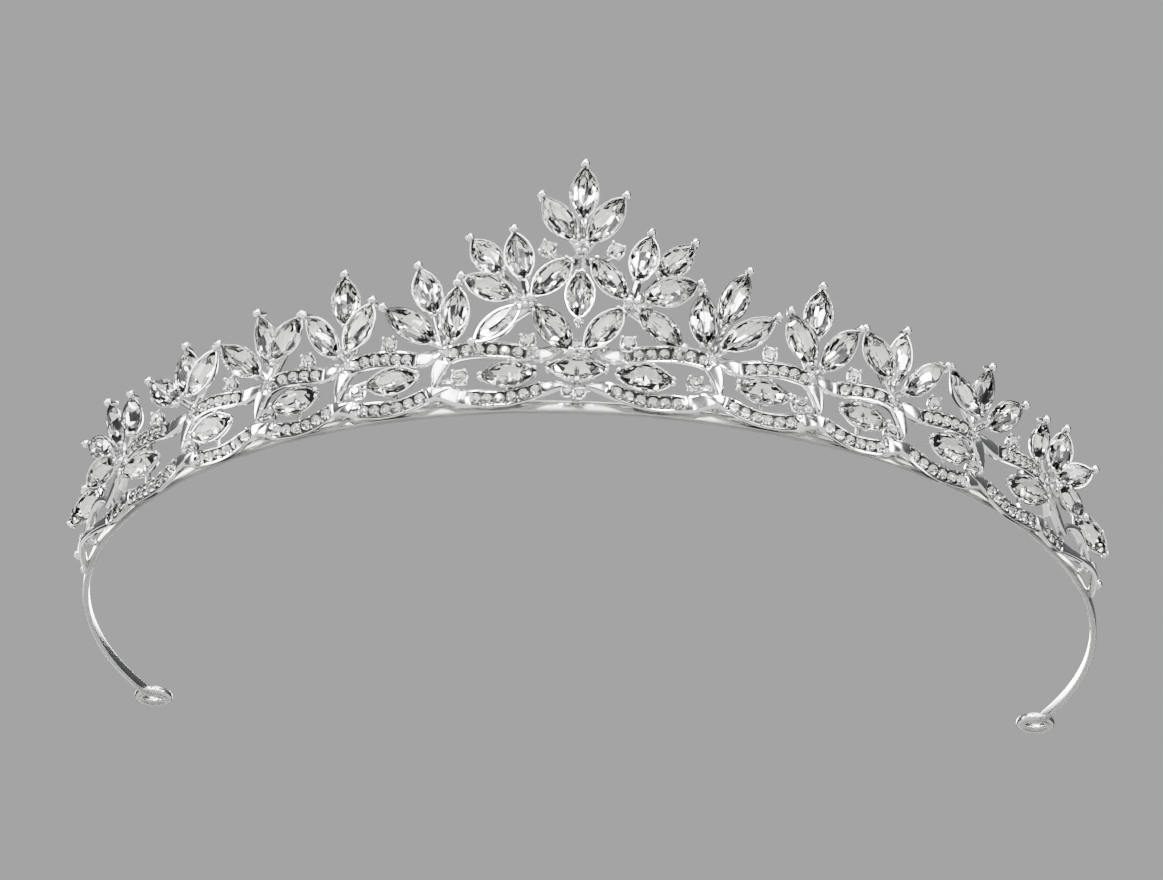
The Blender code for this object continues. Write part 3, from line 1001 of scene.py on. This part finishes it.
def add_hub(shape, along, height, depth, radius):
    """A small domed hub, where the arms of a flower or a cluster meet."""
    section = ((0.7, -0.5), (1.0, -0.3), (1.0, 0.1), (0.8, 0.35), (0.4, 0.5), (0.08, 0.55))
    profile = [(radius * share, rise) for share, rise in section]
    add_turned(shape, seat(along, height, depth), profile, sides=16)


def add_foot(shape, along, height):
    """A short solder foot from a cup back to the lattice."""
    profile = [(0.5, 0.9), (0.45, 1.2), (0.45, 1.8), (0.55, 2.5)]
    add_turned(shape, seat(along, height, 0.0), profile)


def add_arm(shape, start, end, depth_start, depth_end, thickness):
    """A tapered arm between two places of the drawing, such as a hub and the back of a cup."""
    first, last = Vector((*start, depth_start, 1.0)), Vector((*end, depth_end, 0.75))
    middle = (first + last) / 2
    middle[3] = 0.9
    add_wire(shape, [first, middle, last], thickness)


def build_flowers():
    """The three flowers at the front, and the round stones between and under them."""
    top = (0.0, LATTICE_TOP + TOP_FLOWER_HEIGHT)
    build_flower("top", 1, top, TOP_PETALS, ("down",))
    for side, sign in SIDES:
        centre = (sign * SIDE_FLOWER[0], LATTICE_TOP + SIDE_FLOWER[1])
        build_flower(side, sign, centre, SIDE_PETALS, ("outer_lower", "inner_lower"))
    for side, _ in SIDES:
        for level, turn in (("upper", 20.0), ("lower", 45.0)):
            node = f"round_stone_{side}_{level}"
            along, height = drawn(node)
            gem, setting = Shape(), Shape()
            depth, diameter = FLOWER_GIRDLE_DEPTH - 0.2, stones().round_diameter / MM
            add_set_round(gem, setting, along, height, depth, diameter, turn)
            foot = (along, 7.6) if level == "lower" else (0.6 * along, height - 0.6)
            add_arm(setting, (along, height), foot, 2.3, 1.3, 0.8)
            make_gem(f"flower_round_{side}_{level}", gem, node)
            make_casting(f"flower_round_cup_{side}_{level}", setting)


def build_flower(flower, sign, centre, petals, soldered):
    """Navette petals in claw cups on a cast gallery, with five beads at its middle."""
    casting = Shape()
    add_hub(casting, *centre, GALLERY_DEPTH, 0.7)
    middle = seat(*centre, FLOWER_GIRDLE_DEPTH)
    for fifth in range(5):
        at = spoke(0.72, radians(72 * fifth + 18))
        add_claw(casting, middle, at, 0.78, 0.35, -1.9)
    feet = []
    for petal, (angle, length) in petals.items():
        node = f"{flower}_petal_{petal}"
        along, height = drawn(node)
        angle = angle if sign > 0 else 180 - angle
        tip_forward, roll = 4.0 + wobble(node, 8), wobble(node + "r", 14)
        place = seat(along, height, FLOWER_GIRDLE_DEPTH, angle, tip_forward, roll)
        gem = Shape()
        add_navette(gem, place, length)
        add_navette_setting(casting, place, length)
        add_arm(casting, centre, (along, height), GALLERY_DEPTH, 1.75, 1.2)
        make_gem(f"{flower}_flower_navette_{petal}", gem, node)
        if petal in soldered:
            x, y = spoke(0.40 * length, radians(angle))
            feet.append((along + x, height + y))
    for foot in feet:
        add_foot(casting, *foot)
    make_casting(f"{flower}_flower_casting", casting, f"flower_plate_{flower}")


def build_clusters():
    """The side clusters: three or four navettes that fan out from a hub on the lattice."""
    for number, (hub_place, fan) in enumerate(zip(CLUSTER_HUBS, CLUSTER_STONES), 1):
        for side, sign in SIDES:
            hub = (sign * hub_place[0], hub_place[1])
            casting = Shape()
            add_hub(casting, *hub, 1.3, 0.8)
            add_arm(casting, hub, (hub[0], LATTICE_TOP - 2.4), 1.2, 1.0, 1.2)
            for order, (base, tip) in enumerate(fan):
                name = f"cluster_navette_{side}_{number}_{order + 1}"
                base, tip = (sign * base[0], base[1]), (sign * tip[0], tip[1])
                along, height = (base[0] + tip[0]) / 2, (base[1] + tip[1]) / 2
                length = dist(base, tip)
                angle = degrees(atan2(tip[1] - base[1], tip[0] - base[0]))
                depth = CLUSTER_GIRDLE_DEPTH + CLUSTER_DEPTH_STEPS[order]
                tip_forward, roll = 5.0 + wobble(name, 9), wobble(name + "r", 20)
                place = seat(along, height, depth, angle, tip_forward, roll)
                gem = Shape()
                add_navette(gem, place, length)
                add_navette_setting(casting, place, length)
                add_arm(casting, hub, (along, height), 1.2, depth - 1.4, 1.0)
                make_gem(name, gem)
            node = f"cluster_{side}_{number}"
            make_casting(f"cluster_casting_{side}_{number}", casting, node)
    for side, sign in SIDES:
        gem, setting = Shape(), Shape()
        diameter = 0.9 * stones().round_diameter / MM
        for along, height in TIP_ROUNDS:
            add_set_round(gem, setting, sign * along, height, LATTICE_FRONT + 0.3, diameter)
            add_arm(setting, (sign * along, height), (sign * along, 8.0), 1.2, 1.0, 0.8)
        make_gem(f"tip_rounds_{side}", gem)
        make_casting(f"tip_round_cups_{side}", setting)


def build_solder():
    """Solder that joins the lattice to the strip, and the bead left on the left arm."""
    shape = Shape()
    profile = [(0.3, -0.12), (0.55, 0.0), (0.4, 0.2), (0.4, 0.8)]
    for along in SOLDER_JOINTS:
        for sign in (-1, 1) if along else (1,):
            add_turned(shape, seat(sign * along, 1.7, 0.0, to_front=0), profile, sides=12)
    profile = [(0.75, -0.1), (0.7, 0.2), (0.5, 0.5), (0.2, 0.65)]
    add_turned(shape, seat(SOLDER_BEAD, 0.9, 0.0), profile, sides=12)
    make_casting("solder_joints", shape)


# Stage


FRONT, MIDDLE = (0, -0.05, 0.01), (0, 0, 0.01)  # what the lights are aimed at, in metres
LIGHTS = (  # name, place, aim, width, height, power in watts
    ("front_light", (0.0, -1.1, 0.42), FRONT, 0.34, 0.26, 0.9),
    ("front_left_light", (-0.62, -0.95, 0.42), FRONT, 0.28, 0.3, 1.0),
    ("front_right_light", (0.66, -0.92, 0.44), FRONT, 0.26, 0.3, 1.0),
    ("high_light", (0.15, -0.75, 0.95), FRONT, 0.5, 0.16, 4.5),
    ("key_light", (-0.55, -0.65, 0.85), FRONT, 0.3, 0.3, 8.0),
    ("fill_light", (0.95, -0.5, 0.25), FRONT, 0.25, 0.6, 2.5),
    ("top_light", (0.1, 0.1, 1.0), MIDDLE, 0.8, 0.4, 4.5),
    ("back_light", (-0.2, 1.0, 0.5), MIDDLE, 0.8, 0.3, 5.0),
    ("left_light", (-0.95, -0.15, 0.3), (0, -0.02, 0.01), 0.25, 0.6, 2.5),
    ("sparkle_1", (-0.3, -0.9, 0.35), FRONT, 0.07, 0.07, 1.6),
    ("sparkle_2", (0.5, -0.8, 0.5), FRONT, 0.07, 0.07, 1.6),
    ("sparkle_3", (0.28, -0.95, 0.22), FRONT, 0.08, 0.08, 1.2),
    ("sparkle_4", (-0.75, -0.6, 0.4), FRONT, 0.08, 0.08, 1.2),
    ("sparkle_5", (-0.08, -0.85, 0.6), FRONT, 0.08, 0.08, 1.2),
)


def build_stage():
    """A pale floor, soft lights and the camera."""
    settings = bpy.context.scene.tiara_stage
    build_floor(tuple(settings.floor_colour))
    build_world(tuple(settings.backdrop_colour))
    for name, place, aim, width, height, power in LIGHTS:
        add_light(name, Vector(place), Vector(aim), width, height, power * settings.light)
    add_camera()
    bpy.context.scene.view_settings.look = "AgX - High Contrast"


FLOOR_RADIUS, FLOOR_LEVEL = 6.0, -0.0014  # in metres


def build_floor(colour):
    """A wide floor. Its underside is clear, so that the tiara can be seen from below."""
    pale = Finish("pale_floor")
    pale.tone(pale.coordinates(), 12.0, colour, (0.97, 0.97, 0.97))
    pale.shader["Roughness"].default_value = 0.9
    back = pale.add("NewGeometry").outputs["Backfacing"]
    solid = pale.nodes["Principled BSDF"].outputs["BSDF"]
    surface = pale.mixed(back, solid, pale.add("BsdfTransparent").outputs["BSDF"])
    pale.links.new(surface, pale.nodes["Material Output"].inputs["Surface"])
    shape = bmesh.new()
    bmesh.ops.create_circle(shape, cap_ends=True, radius=FLOOR_RADIUS, segments=96)
    bmesh.ops.translate(shape, verts=shape.verts, vec=(0, 0, FLOOR_LEVEL))
    mesh = bpy.data.meshes.new("floor")
    shape.to_mesh(mesh)
    shape.free()
    mesh.materials.append(pale.material)
    place_object("floor", mesh)


def build_world(colour):
    """Pale behind the tiara. What its facets mirror is darker, and lighter towards the top."""
    world = bpy.data.worlds.get("studio") or bpy.data.worlds.new("studio")
    bpy.context.scene.world = world
    world.use_nodes = True
    world.node_tree.nodes.clear()
    studio = Nodes(world.node_tree)
    direction = studio.add("TexCoord").outputs["Generated"]
    ramp = studio.add("ValToRGB", Fac=studio.add("SeparateXYZ", Vector=direction).outputs["Z"])
    low, high = ramp.color_ramp.elements
    low.position, low.color = 0.0, (0.04, 0.04, 0.045, 1.0)
    high.position, high.color = 0.9, (0.30, 0.305, 0.31, 1.0)
    surround = studio.add("Background", Color=ramp.outputs["Color"]).outputs["Background"]
    backdrop = studio.add("Background", Color=(*colour, 1.0)).outputs["Background"]
    seen = studio.add("LightPath").outputs["Is Camera Ray"]
    studio.add("OutputWorld", Surface=studio.mixed(seen, surround, backdrop))


def add_light(name, place, aim, width, height, power):
    lamp = bpy.data.lights.new(name, "AREA")
    lamp.shape = "RECTANGLE"
    lamp.size, lamp.size_y, lamp.energy = width, height, power
    light = place_object(name, lamp)
    light.location = place
    light.rotation_euler = (aim - place).to_track_quat("-Z", "Y").to_euler()


CAMERA_TARGET = Vector((0.95, HOOP_MIDDLE - HOOP_RADIUS, -4.2))
CAMERA_ANGLES = (2.56, -26.26, 2.73)  # azimuth, elevation and roll in degrees
CAMERA_DISTANCE, CAMERA_LENS = 540.0, 126.8


def add_camera():
    """A long lens below the tiara that looks up at its front."""
    azimuth, elevation, roll = (radians(angle) for angle in CAMERA_ANGLES)
    right = Vector((cos(azimuth), sin(azimuth), 0))
    ahead = Vector((sin(azimuth), -cos(azimuth), 0))
    back = ahead * cos(elevation) + Vector((0, 0, sin(elevation)))
    up = back.cross(right)
    across = right * cos(roll) + up * sin(roll)
    rise = up * cos(roll) - right * sin(roll)
    pose = Matrix((across, rise, back)).transposed().to_4x4()
    pose.translation = (CAMERA_TARGET + back * CAMERA_DISTANCE) * MM
    long_lens = bpy.data.cameras.new("camera")
    long_lens.sensor_width, long_lens.lens = 36.0, CAMERA_LENS
    long_lens.clip_start, long_lens.clip_end = 0.01, 50.0
    camera = place_object("camera", long_lens)
    camera.matrix_world = pose
    bpy.context.scene.camera = camera


# Operators


class TIARA_OT_strip(Operator):
    """Build the sprung strip and its rolled eyelets"""

    bl_idname = "tiara.strip"
    bl_label = "Sprung strip"

    def execute(self, context):
        build_strip()
        return {"FINISHED"}


class TIARA_OT_lattice(Operator):
    """Build the rails of the lattice with their pavé stones"""

    bl_idname = "tiara.lattice"
    bl_label = "Lattice rails"

    def execute(self, context):
        build_lattice()
        return {"FINISHED"}


class TIARA_OT_band_stones(Operator):
    """Build the stones that sit in the eyes of the lattice"""

    bl_idname = "tiara.band_stones"
    bl_label = "Band stones"

    def execute(self, context):
        build_band_stones()
        return {"FINISHED"}


class TIARA_OT_flowers(Operator):
    """Build the three flowers at the front"""

    bl_idname = "tiara.flowers"
    bl_label = "Flowers"

    def execute(self, context):
        build_flowers()
        return {"FINISHED"}


class TIARA_OT_clusters(Operator):
    """Build the side clusters"""

    bl_idname = "tiara.clusters"
    bl_label = "Side clusters"

    def execute(self, context):
        build_clusters()
        return {"FINISHED"}


class TIARA_OT_solder(Operator):
    """Build the solder joints between lattice and strip"""

    bl_idname = "tiara.solder"
    bl_label = "Solder joints"

    def execute(self, context):
        build_solder()
        return {"FINISHED"}


class TIARA_OT_stage(Operator):
    """Build the floor, the lights and the camera"""

    bl_idname = "tiara.stage"
    bl_label = "Stage"

    def execute(self, context):
        build_stage()
        return {"FINISHED"}


OPERATORS = (
    TIARA_OT_strip,
    TIARA_OT_lattice,
    TIARA_OT_band_stones,
    TIARA_OT_flowers,
    TIARA_OT_clusters,
    TIARA_OT_solder,
    TIARA_OT_stage,
)
SETTINGS = (
    ("tiara_stones", TIARA_PG_stones),
    ("tiara_metal", TIARA_PG_metal),
    ("tiara_stage", TIARA_PG_stage),
)


class TIARA_PT_panel(Panel):
    """Lists the tiara's settings and its building steps"""

    bl_label = "Bridal tiara"
    bl_idname = "TIARA_PT_panel"
    bl_space_type = "VIEW_3D"
    bl_region_type = "UI"
    bl_category = "Tiara"

    def draw(self, context):
        for name, group in SETTINGS:
            box = self.layout.box()
            for setting in group.__annotations__:
                box.prop(getattr(context.scene, name), setting)
        for operator in OPERATORS:
            self.layout.operator(operator.bl_idname)


register_classes, unregister_classes = bpy.utils.register_classes_factory(
    (*(group for _, group in SETTINGS), *OPERATORS, TIARA_PT_panel)
)


def register():
    register_classes()
    for name, group in SETTINGS:
        setattr(bpy.types.Scene, name, bpy.props.PointerProperty(type=group))


def unregister():
    for name, _ in SETTINGS:
        delattr(bpy.types.Scene, name)
    unregister_classes()


def main():
    register()
    for operator in OPERATORS:
        family, step = operator.bl_idname.split(".")
        getattr(getattr(bpy.ops, family), step)()


if __name__ == "__main__":
    main()
